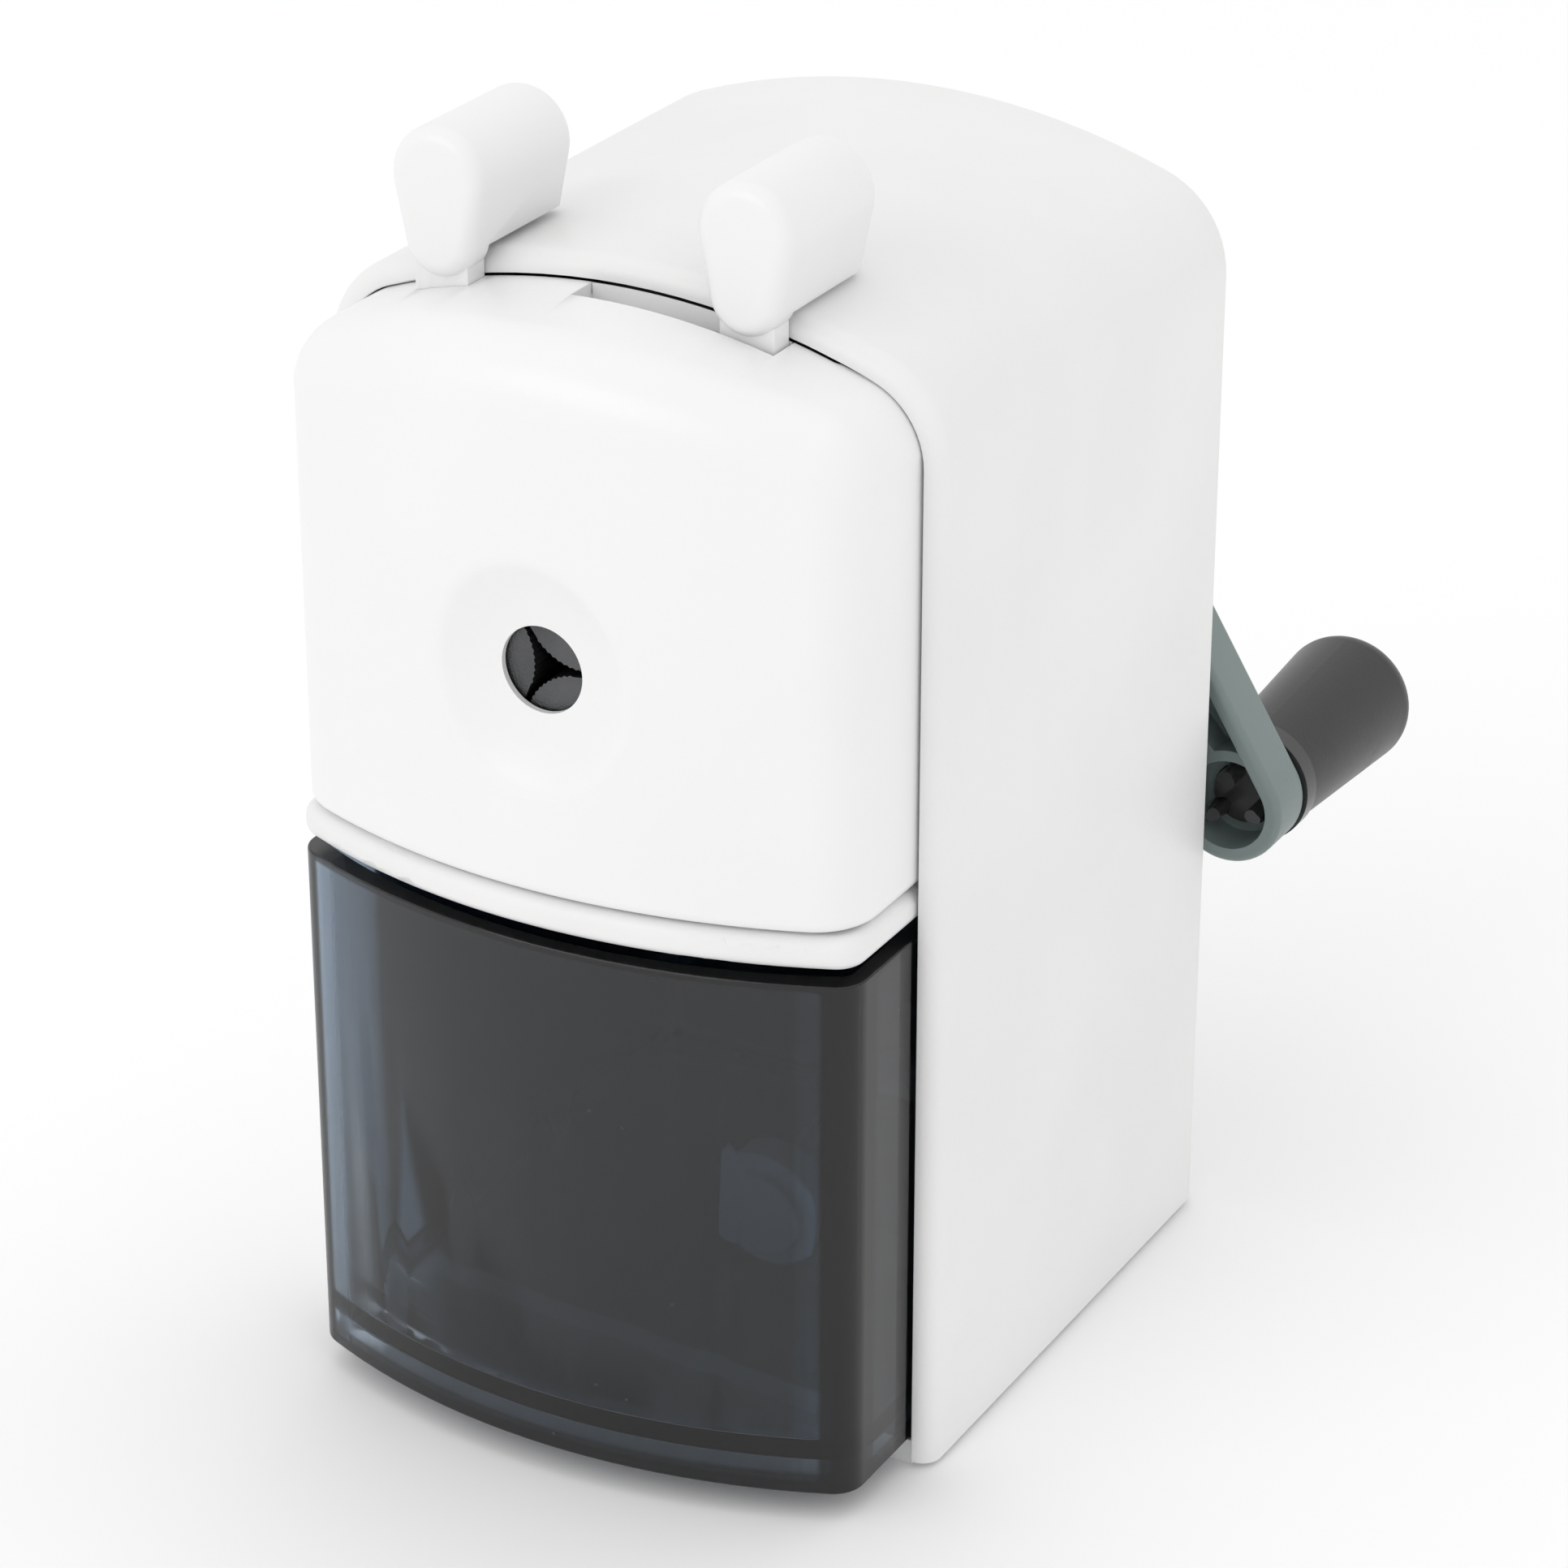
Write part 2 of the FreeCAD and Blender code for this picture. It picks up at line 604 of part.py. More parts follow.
def return_spring(x):
    y0 = BULKHEAD_BACK + 0.6 + SPRING_WIRE_R
    y1 = ROD_BACK - 2.0 - SPRING_WIRE_R
    helix = Part.makeHelix((y1 - y0) / SPRING_TURNS, y1 - y0, SPRING_R)
    section = Part.Wire(Part.makeCircle(SPRING_WIRE_R, V(SPRING_R, 0, 0), V(0, 1, 0)))
    spring = Part.Wire(helix).makePipeShell([section], True, True)
    spring.rotate(V(0, 0, 0), V(1, 0, 0), -90)
    spring.translate(V(x, y0, ROD_Z))
    return spring


def egg(x, y0, depth):
    """Lever head: wide round top, narrower round bottom, drawn out along Y."""
    bottom = rod_y(x, HEAD_BOTTOM_Z, HEAD_BOTTOM_R, y0, y0 + depth)
    top = rod_y(x, HEAD_TOP_Z, HEAD_TOP_R, y0, y0 + depth)
    apart = HEAD_TOP_Z - HEAD_BOTTOM_Z
    lean = math.asin((HEAD_TOP_R - HEAD_BOTTOM_R) / apart)
    outline = []
    for z, r, side in ((HEAD_BOTTOM_Z, HEAD_BOTTOM_R, -1), (HEAD_BOTTOM_Z, HEAD_BOTTOM_R, 1),
                       (HEAD_TOP_Z, HEAD_TOP_R, 1), (HEAD_TOP_Z, HEAD_TOP_R, -1)):
        outline.append((x + side * r * math.cos(lean), z - r * math.sin(lean)))
    body = fuse_all([bottom, top, polygon_y(outline, y0, y0 + depth)])
    ends = edges_at_y(body, y0) + edges_at_y(body, y0 + depth)
    return body.makeFillet(HEAD_ROUND, ends)


def lever_head(x):
    """Head that overhangs the casing with a small gap under it."""
    head = egg(x, HEAD_FRONT, HEAD_DEPTH)
    over_case = arch_prism(-0.7, 60, FRONT - 0.7, HEAD_FRONT + HEAD_DEPTH + 5)
    return head.cut(over_case)


def fixed_lever():
    left = FIXED_X - STEM_HALF
    right = FIXED_X + STEM_HALF
    stem = box(left, right, LEVER_FRONT, LEVER_BACK, FIXED_FOOT_Z, HEAD_BOTTOM_Z)
    foot = box(left, right, LEVER_BACK, CARRIER_FRONT, FIXED_FOOT_Z, PLATE_HIGH - 1)
    return fuse_all([stem, foot, lever_head(FIXED_X)])


def release_stem():
    return box(LEVER_X - STEM_HALF, LEVER_X + STEM_HALF, LEVER_FRONT, LEVER_BACK,
               AXIS_Z + LEVER_RING_IN / 2, STEM_TOP)


def lever_ring():
    ring = rod_y(0, AXIS_Z, LEVER_RING_OUT, LEVER_FRONT, LEVER_BACK)
    plate = fuse_all([ring, release_stem()])
    return plate.cut(rod_y(0, AXIS_Z, LEVER_RING_IN, LEVER_FRONT - 1, LEVER_BACK + 1))


def slot_shield():
    """Curved strip on the release lever that closes the slot from below."""
    strip = tube_y(0, AXIS_Z, SHIELD_IN, SHIELD_OUT, SHIELD_FRONT, LEVER_BACK)
    start = polar(2 * SHIELD_OUT, SHIELD_FROM)
    end = polar(2 * SHIELD_OUT, SHIELD_TO)
    strip = strip.common(polygon_y([(0, AXIS_Z), start, end], SHIELD_FRONT, LEVER_BACK))
    return strip.cut(release_stem())


def release_lever_head():
    return lever_head(LEVER_X).cut(release_stem())


def cover_screws():
    return screws_group(POSTS, CARRIER_BACK, 1, 1.1, 2.4, 1.4, 8.0)


# ---------------------------------------------------------------- crank
def teardrop(inset, y0, y1):
    """Arm outline: a large round hub tapering to a small round end."""
    hub_r = ARM_HUB_R - inset
    end_r = ARM_END_R - inset
    hub = rod_y(0, AXIS_Z, hub_r, y0, y1)
    end = rod_y(KNOB_X, KNOB_Z, end_r, y0, y1)
    dx = KNOB_X
    dz = KNOB_Z - AXIS_Z
    apart = math.hypot(dx, dz)
    lean = math.acos((hub_r - end_r) / apart)
    along = math.atan2(dz, dx)
    corners = []
    for x, z, r, side in ((0, AXIS_Z, hub_r, 1), (KNOB_X, KNOB_Z, end_r, 1),
                          (KNOB_X, KNOB_Z, end_r, -1), (0, AXIS_Z, hub_r, -1)):
        a = along + side * lean
        corners.append((x + r * math.cos(a), z + r * math.sin(a)))
    return fuse_all([hub, end, polygon_y(corners, y0, y1)])


def crank_arm():
    floor_y = ARM_BACK - ARM_WEB
    pocket = teardrop(ARM_WALL, ARM_FRONT - 1, floor_y)
    arm = teardrop(0, ARM_FRONT, ARM_BACK)
    arm = arm.makeFillet(0.9, edges_at_y(arm, ARM_BACK))
    arm = arm.makeFillet(0.8, edges_at_y(arm, ARM_FRONT)).cut(pocket)
    throw = math.hypot(KNOB_X, KNOB_Z - AXIS_Z)
    boss = tube_y(0, AXIS_Z, SHAFT_R, HUB_BOSS_R, ARM_FRONT, floor_y)
    ribs = []
    for side in (-1, 1):
        middle = side * ARM_RIB_APART / 2
        rib = box(middle - 0.5, middle + 0.5, ARM_FRONT + 1.2, floor_y,
                  -throw + ARC_RIB_R - 0.4, 0.7 - HUB_BOSS_R)
        rib.rotate(V(0, 0, 0), V(0, 1, 0), -math.degrees(math.atan2(KNOB_X, AXIS_Z - KNOB_Z)))
        rib.translate(V(0, 0, AXIS_Z))
        ribs.append(rib)
    arc_rib = tube_y(KNOB_X, KNOB_Z, ARC_RIB_R - 0.6, ARC_RIB_R + 0.6, ARM_FRONT + 1.2, floor_y)
    arm = fuse_all([arm, boss, arc_rib.common(pocket)] + ribs)
    arm = arm.cut(rod_y(0, AXIS_Z, SHAFT_R, ARM_FRONT - 1, ARM_BACK + 1))
    return arm.cut(rod_y(KNOB_X, KNOB_Z, 3.2, floor_y - 1, ARM_BACK + 1))


def crank_screw():
    return screw_y(0, AXIS_Z, ARM_BACK, 1, 1.4, 5.6, 1.8, 9.0)


def shaft_tapped(yoke):
    """Screw hole in the rear end of the yoke's shaft."""
    return yoke.cut(rod_y(0, AXIS_Z, 1.4, ARM_BACK - 9.2, ARM_BACK + 1))


PRONG_AT = 2.4
PRONG_R = 0.7
PRONG_LENGTH = 3.4


def knob_bush():
    """Collar behind the arm, a neck through it and three hooked snap prongs."""
    floor_y = ARM_BACK - ARM_WEB
    collar = rod_y(KNOB_X, KNOB_Z, 6.1, ARM_BACK + 0.1, ARM_BACK + 2.3)
    neck = rod_y(KNOB_X, KNOB_Z, 3.14, floor_y - 0.5, ARM_BACK + 0.5)
    stalk = rod_y(KNOB_X, KNOB_Z, 2.6, ARM_BACK + 2, ARM_BACK + 12)
    parts = [collar, neck, stalk]
    for angle in (100.0, 220.0, 340.0):
        a = math.radians(angle)
        x = KNOB_X + PRONG_AT * math.cos(a)
        z = KNOB_Z + PRONG_AT * math.sin(a)
        parts.append(rod_y(x, z, PRONG_R, floor_y - PRONG_LENGTH, floor_y))
        parts.append(cone_y(x + 0.6 * math.cos(a), z + 0.6 * math.sin(a), PRONG_R - 0.2,
                            PRONG_R + 0.35, floor_y - PRONG_LENGTH, floor_y - 0.12))
    return fuse_all(parts)


KNOB_BASE_R = 5.8
KNOB_END_R = 7.25
KNOB_END_ROUND = 2.8
KNOB_BACK = 64.6


def knob_grip():
    y0 = ARM_BACK + 2.3
    grip = cone_y(KNOB_X, KNOB_Z, KNOB_BASE_R, KNOB_END_R, y0, KNOB_BACK)
    grip = grip.makeFillet(KNOB_END_ROUND, edges_at_y(grip, KNOB_BACK))
    return grip.cut(rod_y(KNOB_X, KNOB_Z, 2.6, y0 - 1, ARM_BACK + 12))


# ---------------------------------------------------------------- drawer and stored clamp
DRAWER_BACK = 23.8
DRAWER_WALL = 1.8
DRAWER_FLOOR_LOW = 6.0
DRAWER_FLOOR_TOP = 8.0
CLAMP_X = 7.5
CLAMP_Z = DRAWER_FLOOR_TOP + 7.0
CLAMP_ARM = 3.0
CLAMP_LEFT = -4.0
CLAMP_RIGHT = 21.0
CLAMP_FRONT = -4.0
CLAMP_BACK = 20.0
CLAMP_SCREW_R = 3.0
SCREW_FRONT = -14.0
SCREW_BACK = 8.0
PIVOT_R = 1.5
THUMB_R = 6.4
THUMB_RAISED_R = 4.6


def drawer_tray():
    outer = rounded_bow(0, DRAWER_BACK, DRAWER_BOTTOM, DRAWER_TOP, BOW_CORNER_R)
    inner = rounded_bow(DRAWER_WALL, DRAWER_BACK - DRAWER_WALL, DRAWER_FLOOR_TOP, DRAWER_TOP + 5,
                        BOW_CORNER_R - DRAWER_WALL)
    under = rounded_bow(DRAWER_WALL, DRAWER_BACK - DRAWER_WALL, DRAWER_BOTTOM - 1,
                        DRAWER_FLOOR_LOW, BOW_CORNER_R - DRAWER_WALL)
    return outer.cut(inner).cut(under)


def clamp_bracket():
    """C-shaped flat bar lying on its edge, open towards -X."""
    z0 = DRAWER_FLOOR_TOP
    z1 = 2 * CLAMP_Z - z0
    front = box(CLAMP_LEFT, CLAMP_RIGHT, CLAMP_FRONT, CLAMP_FRONT + CLAMP_ARM, z0, z1)
    spine = box(CLAMP_RIGHT - CLAMP_ARM, CLAMP_RIGHT, CLAMP_FRONT, CLAMP_BACK, z0, z1)
    far = box(CLAMP_LEFT, CLAMP_RIGHT, CLAMP_BACK - CLAMP_ARM, CLAMP_BACK, z0, z1)
    bracket = fuse_all([front, spine, far])
    corners = []
    for edge in bracket.Edges:
        box_ = edge.BoundBox
        upright = box_.ZLength > 1 and box_.XLength < 0.01 and box_.YLength < 0.01
        if upright and box_.XMin > CLAMP_RIGHT - 0.1:
            corners.append(edge)
    bracket = bracket.makeFillet(2.5, corners)
    return bracket.cut(rod_y(CLAMP_X, CLAMP_Z, CLAMP_SCREW_R + RUNNING, CLAMP_FRONT - 1,
                             CLAMP_FRONT + CLAMP_ARM + 1))


def clamp_screw():
    shank = rod_y(CLAMP_X, CLAMP_Z, CLAMP_SCREW_R, SCREW_FRONT, SCREW_BACK)
    return shank.fuse(rod_y(CLAMP_X, CLAMP_Z, PIVOT_R, SCREW_BACK, SCREW_BACK + 1.6))


def half_round(radius, flat_at, y0, y1):
    """Disc on the clamp screw's axis with one flat towards -X."""
    disc = rod_y(CLAMP_X, CLAMP_Z, radius, y0, y1)
    return disc.cut(box(CLAMP_X - 2 * radius, CLAMP_X - flat_at, y0 - 1, y1 + 1,
                        CLAMP_Z - 2 * radius, CLAMP_Z + 2 * radius))


def clamp_thumb_knob():
    """D-shaped thumb piece on the outer end of the clamp screw."""
    plate = half_round(THUMB_R, 3.4, SCREW_FRONT - 4.0, SCREW_FRONT)
    raised = half_round(THUMB_RAISED_R, 1.9, SCREW_FRONT - 5.4, SCREW_FRONT - 4.0)
    return plate.fuse(raised)


def clamp_pad():
    return tube_y(CLAMP_X, CLAMP_Z, PIVOT_R + RUNNING, 5.5, SCREW_BACK + 0.1, SCREW_BACK + 2.6)


# ---------------------------------------------------------------- write every node
def export(name, shape):
    if not shape.isValid():
        print("INVALID", name)
    print(f"{name:22s} solids {len(shape.Solids)} volume {shape.Volume:9.1f}")
    shape.exportStep(f"parts/{name}.step")


os.makedirs("parts", exist_ok=True)
export("casing_shell", casing_shell())
export("base_plate", base_plate())
export("rubber_feet", rubber_feet())
export("inner_frame", inner_frame())
export("front_bush", front_bush())
export("rear_bush", rear_bush())
export("guide_bushes", guide_bushes())
export("frame_screws", screws_group(FRAME_SCREWS, BACK, 1, 1.2, 2.6, 1.2, 4.6))
export("base_screws", screws_group(BASE_SCREWS, BACK, 1, 1.2, 2.6, 1.2, 4.4))
export("gear_screws", screws_group([polar(GEAR_SCREW_AT, a) for a in GEAR_SCREW_ANGLES],
                                   BULKHEAD_FRONT, -1, 0.9, 2.0, 1.0, 5.4))
export("ring_gear", ring_gear())
export("rotor_yoke", shaft_tapped(rotor_yoke()))
export("cutter_axle", cutter_axle())
export("cutter_pinion", cutter_pinion())
export("helical_cutter", helical_cutter())
export("crank_arm", crank_arm())
export("crank_screw", crank_screw())
export("knob_bush", knob_bush())
export("knob_grip", knob_grip())
export("front_cover", front_cover())
export("carrier_plate", carrier_plate())
export("cover_screws", cover_screws())
export("guide_rod_left", guide_rod(-ROD_X))
export("guide_rod_right", guide_rod(ROD_X))
export("rod_clips", rod_clips())
export("return_spring_left", return_spring(-ROD_X))
export("return_spring_right", return_spring(ROD_X))
export("jaw_pins", jaw_pins())
for jaw_name, jaw_angle in zip(("jaw_upper", "jaw_side", "jaw_lower"), JAW_ANGLES):
    export(jaw_name, jaw(jaw_angle))
export("fixed_lever", fixed_lever())
export("lever_ring", lever_ring())
export("slot_shield", slot_shield())
export("release_lever_head", release_lever_head())
export("drawer_tray", drawer_tray())
export("clamp_bracket", clamp_bracket())
export("clamp_screw", clamp_screw())
export("clamp_thumb_knob", clamp_thumb_knob())
export("clamp_pad", clamp_pad())
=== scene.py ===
"""Looks for the hand-cranked desk pencil sharpener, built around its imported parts.

Metres, in the frame of the parts: -Y is the pencil entry, +X the right side, +Z up.
"""
import json
import math

import bmesh
import bpy
from mathutils import Matrix, Vector


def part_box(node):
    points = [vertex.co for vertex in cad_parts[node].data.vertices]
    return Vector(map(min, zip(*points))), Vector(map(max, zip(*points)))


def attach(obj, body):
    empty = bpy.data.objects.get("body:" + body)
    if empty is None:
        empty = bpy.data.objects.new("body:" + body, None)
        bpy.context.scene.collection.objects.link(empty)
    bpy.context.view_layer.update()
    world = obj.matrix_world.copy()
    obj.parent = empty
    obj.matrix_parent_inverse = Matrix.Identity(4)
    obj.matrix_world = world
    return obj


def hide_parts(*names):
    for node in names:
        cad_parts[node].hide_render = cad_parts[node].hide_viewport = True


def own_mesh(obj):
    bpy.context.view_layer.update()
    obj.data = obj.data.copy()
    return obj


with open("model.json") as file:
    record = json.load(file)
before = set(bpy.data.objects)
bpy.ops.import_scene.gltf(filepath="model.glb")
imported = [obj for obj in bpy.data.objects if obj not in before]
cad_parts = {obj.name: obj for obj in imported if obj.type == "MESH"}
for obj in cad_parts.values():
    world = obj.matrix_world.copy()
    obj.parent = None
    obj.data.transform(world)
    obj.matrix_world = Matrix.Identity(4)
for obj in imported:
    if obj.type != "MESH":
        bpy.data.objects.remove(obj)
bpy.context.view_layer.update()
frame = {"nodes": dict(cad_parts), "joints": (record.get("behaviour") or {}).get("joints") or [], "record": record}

MM = 0.001
PENCIL_AXIS_Z = 82.3 * MM


# ---------------------------------------------------------------- finishes
class Signal:
    """A shader socket that ordinary arithmetic can be written on."""

    def __init__(self, finish, socket):
        self.finish = finish
        self.socket = socket

    def maths(self, operation, *terms):
        return self.finish.node("ShaderNodeMath", {"operation": operation}, dict(enumerate(terms)))

    def __add__(self, other):
        return self.maths("ADD", self, other)

    def __sub__(self, other):
        return self.maths("SUBTRACT", self, other)

    def __rsub__(self, other):
        return self.maths("SUBTRACT", other, self)

    def __mul__(self, other):
        return self.maths("MULTIPLY", self, other)

    __radd__ = __add__
    __rmul__ = __mul__


class Finish:
    """A procedural material and the helpers that add its nodes."""

    def __init__(self, name, steady):
        self.material = bpy.data.materials.new(name)
        self.material.use_nodes = True
        self.tree = self.material.node_tree
        self.shader = self.tree.nodes["Principled BSDF"]
        for socket, value in steady.items():
            self.shader.inputs[socket].default_value = value
        self.place = self.node("ShaderNodeTexCoord", {}, {}, "Object")

    def node(self, kind, settings, sockets, output=0):
        """Add a node: its settings first, then the values or links of its sockets."""
        made = self.tree.nodes.new(kind)
        for key, value in settings.items():
            setattr(made, key, value)
        for key, value in sockets.items():
            self.feed(made.inputs[key], value)
        return Signal(self, made.outputs[output])

    def feed(self, socket, value):
        if isinstance(value, Signal):
            self.tree.links.new(value.socket, socket)
        else:
            socket.default_value = value

    def varies(self, signals):
        """Drive the shader's sockets from signals."""
        for socket, signal in signals.items():
            self.feed(self.shader.inputs[socket], signal)
        return self.material

    def noise(self, size, detail=2.0, place=None):
        """Soft noise around 0.5 with features of about size metres."""
        return self.node("ShaderNodeTexNoise", {},
                         {"Vector": place or self.place, "Scale": 1 / size, "Detail": detail})

    def stretched(self, x, y, z):
        return self.node("ShaderNodeMapping", {}, {"Vector": self.place, "Scale": (x, y, z)})

    def axis(self, letter):
        return self.node("ShaderNodeSeparateXYZ", {}, {"Vector": self.place}, letter)

    def between(self, signal, low, high):
        """0 at low, 1 at high, smooth between."""
        return self.node("ShaderNodeMapRange", {"interpolation_type": "SMOOTHSTEP"},
                         {"Value": signal, "From Min": low, "From Max": high})

    def blend(self, factor, first, second):
        """Colour from first to second as the factor goes from 0 to 1."""
        return self.node("ShaderNodeMix", {"data_type": "RGBA"},
                         {"Factor": factor, 6: first, 7: second}, 2)

    def relief(self, height, depth):
        """Normal from a 0 to 1 height of the given depth in metres."""
        return self.node("ShaderNodeBump", {}, {"Height": height, "Distance": depth})


def tone(level, warmth=0.0):
    """Grey with a little warmth, as a linear colour."""
    return (level * (1 + warmth), level, level * (1 - warmth), 1.0)


def shade(colour, factor):
    return tuple(c * factor for c in colour[:3]) + (1.0,)


def moulded(name, colour, roughness, grain, mottling=0.02):
    """Moulded plastic: faint mottling, fine mould texture, scuffs that change the gloss."""
    f = Finish(name, {"IOR": 1.52, "Specular IOR Level": 0.5})
    flow = f.noise(0.03, 3.0)
    fine = f.noise(0.0005, 2.0)
    scuff = f.between(f.noise(0.004, 6.0), 0.56, 0.72)
    pale = shade(colour, 1 + mottling)
    deep = shade(colour, 1 - mottling)
    return f.varies({
        "Base Color": f.blend(f.between(flow, 0.3, 0.7), deep, pale),
        "Roughness": roughness + (flow - 0.5) * 0.06 + scuff * 0.05 + (fine - 0.5) * 0.05,
        "Normal": f.relief(fine * 0.7 + f.noise(0.0015, 1.0) * 0.3, grain)})


def metal(name, colour, roughness, along="Y", scratch=0.00004):
    """Turned or drawn metal with fine lines across its length and a dull film."""
    f = Finish(name, {"IOR": 1.5})
    fast = 60.0
    spread = {"X": (1.0, fast, fast), "Y": (fast, 1.0, fast), "Z": (fast, fast, 1.0)}[along]
    lines = f.noise(0.01, 3.0, f.stretched(*spread))
    film = f.between(f.noise(0.006, 4.0), 0.35, 0.75)
    return f.varies({
        "Base Color": f.blend(film, shade(colour, 1.08), shade(colour, 0.82)),
        "Metallic": 1.0 - film * 0.08,
        "Roughness": roughness + film * 0.12 + (lines - 0.5) * 0.12,
        "Normal": f.relief(lines, scratch)})


def smoke_plastic():
    """Clear smoke-grey plastic: painted shade along its top, bottom and right front corner, painted light in pale
    bands beside its walls, dust and haze.
    """
    f = Finish("drawer_smoke", {"IOR": 1.52, "Transmission Weight": 1.0, "Specular IOR Level": 0.38})
    haze = f.noise(0.02, 4.0)
    nearest = f.node("ShaderNodeTexVoronoi", {}, {"Vector": f.place, "Scale": 260.0}, "Distance")
    dust = (1.0 - f.between(nearest, 0.03, 0.07)) * f.between(f.noise(0.012, 2.0), 0.58, 0.64)
    low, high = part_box("drawer_tray")
    height = f.axis("Z")
    across = f.axis("X")
    # painted shade: the top rim, the bottom edge and the right front corner are darkened to near black by position
    corner = low[1] + 6.6 * MM
    ahead = 1.0 - f.between(f.axis("Y"), corner + 3.4 * MM, corner + 4.6 * MM)
    right = f.between(across, high[0] - 3.4 * MM, high[0] - 2.6 * MM)
    bottom = 1.0 - f.between(height, low[2] + 1.0 * MM, low[2] + 1.8 * MM)
    top = f.between(height, high[2] - 0.9 * MM, high[2] - 0.4 * MM)
    shadow = f.between(bottom + top + right * ahead, 0.0, 1.0)
    # painted shade: a darker band beside the right side face
    painted_side_shade = f.between(across, high[0] - 2.2 * MM, high[0] - 1.4 * MM)
    # painted light: pale bluish bands beside the left wall, along the bottom and in a thin line near the right
    # front corner
    left_light_band = 1.0 - f.between(across, low[0] + 3.6 * MM, low[0] + 7.0 * MM)
    low_light_band = 1.0 - f.between(height, low[2] + 5.0 * MM, low[2] + 8.0 * MM)
    line = f.between(across, high[0] - 5.6 * MM, high[0] - 4.6 * MM)
    painted_light_bands = f.between(left_light_band + low_light_band * 0.55 + line * ahead * 0.8, 0.0, 1.0)
    clear = f.blend(f.between(haze, 0.35, 0.7), (0.195, 0.225, 0.26, 1), (0.225, 0.255, 0.29, 1))
    clear = f.blend(painted_light_bands, clear, (0.33, 0.42, 0.52, 1))
    clear = f.blend(painted_side_shade * 0.6, clear, (0.10, 0.11, 0.12, 1))
    clear = f.blend(shadow, clear, (0.010, 0.011, 0.013, 1))
    return f.varies({
        "Base Color": f.blend(dust, clear, (0.85, 0.85, 0.85, 1)),
        "Roughness": 0.05 + f.between(haze, 0.5, 0.8) * 0.04 + dust * 0.3 + left_light_band * 0.25,
        "Normal": f.relief(f.noise(0.01, 1.0), 0.00002)})


def cast_iron():
    """Blackened castings with a pitted skin and paler rubbed spots."""
    f = Finish("clamp_iron", {"IOR": 1.5})
    pits = f.noise(0.0008, 3.0)
    rubbed = f.between(f.noise(0.004, 4.0), 0.55, 0.75)
    return f.varies({
        "Base Color": f.blend(rubbed, tone(0.035), tone(0.09)),
        "Metallic": 0.4 + rubbed * 0.4,
        "Roughness": 0.55 - rubbed * 0.15,
        "Normal": f.relief(pits, 0.0001)})


FINISHES = {
    "casing_white": moulded("casing_white", tone(0.80, 0.004), 0.36, 0.00003),
    "cover_white": moulded("cover_white", tone(0.84, 0.002), 0.30, 0.00002, 0.01),
    "lever_white": moulded("lever_white", tone(0.83, 0.003), 0.32, 0.00002, 0.01),
    "foot_rubber": moulded("foot_rubber", tone(0.03), 0.75, 0.00006, 0.15),
    "bush_nylon": moulded("bush_nylon", tone(0.58, 0.03), 0.45, 0.00003),
    "screw_steel": metal("screw_steel", tone(0.58), 0.28),
    "gear_plastic": moulded("gear_plastic", tone(0.045), 0.42, 0.00003, 0.05),
    "yoke_alloy": metal("yoke_alloy", tone(0.45, 0.01), 0.42, "Y", 0.00008),
    "cutter_steel": metal("cutter_steel", tone(0.30), 0.22),
    "arm_grey": moulded("arm_grey", (0.168, 0.212, 0.206, 1), 0.42, 0.00003, 0.04),
    "knob_charcoal": moulded("knob_charcoal", tone(0.013, -0.01), 0.36, 0.00002, 0.05),
    "bush_charcoal": moulded("bush_charcoal", tone(0.03, -0.01), 0.22, 0.00002, 0.05),
    "plate_steel": metal("plate_steel", tone(0.5), 0.3, "X"),
    "jaw_iron": metal("jaw_iron", tone(0.11, -0.02), 0.38, "Y", 0.00006),
    "drawer_smoke": smoke_plastic(),
    "clamp_iron": cast_iron(),
    # painted light: the thumb knob is black, coloured pale bluish so it shows lit through the smoke drawer
    "thumb_black": moulded("thumb_black", (0.55, 0.64, 0.74, 1), 0.35, 0.00003, 0.06),
}


for part in frame["record"]["subparts"]:
    node = frame["nodes"][part["node"]]
    for place in node.material_slots:
        place.material = FINISHES[part["material_slot"]]


# ---------------------------------------------------------------- pieces
BODY_OF = {node: body for body, nodes in frame["record"]["behaviour"]["bodies"].items() for node in nodes}
SLOT_OF = {part["node"]: part["material_slot"] for part in frame["record"]["subparts"]}


def stand_for(node, name, bm, sharp=32.0):
    """Turn a bmesh into a piece that rides with a part's body and is shown in its place."""
    mesh = bpy.data.meshes.new(name)
    bm.to_mesh(mesh)
    bm.free()
    mesh.shade_smooth()
    mesh.set_sharp_from_angle(angle=math.radians(sharp))
    mesh.materials.append(FINISHES[SLOT_OF[node]])
    piece = bpy.data.objects.new(name, mesh)
    bpy.context.scene.collection.objects.link(piece)
    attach(piece, BODY_OF[node])
    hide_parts(node)
    return piece


MERGE_WITHIN = 0.002 * MM
FLAT_WITHIN = math.radians(0.4)
HARD_EDGE = math.radians(35)


def eased(node, radius):
    """A part with the small radius that a moulding or casting has on every hard edge."""
    bm = bmesh.new()
    bm.from_mesh(frame["nodes"][node].data)
    bmesh.ops.remove_doubles(bm, verts=bm.verts, dist=MERGE_WITHIN)
    bmesh.ops.dissolve_limit(bm, angle_limit=FLAT_WITHIN, verts=bm.verts, edges=bm.edges)
    piece = stand_for(node, node + "_eased", bm)
    bevel = piece.modifiers.new("eased_edges", "BEVEL")
    bevel.width = radius
    bevel.segments = 2
    bevel.limit_method = "ANGLE"
    bevel.angle_limit = HARD_EDGE
    bevel.miter_outer = "MITER_ARC"
    bevel.harden_normals = True
    return piece


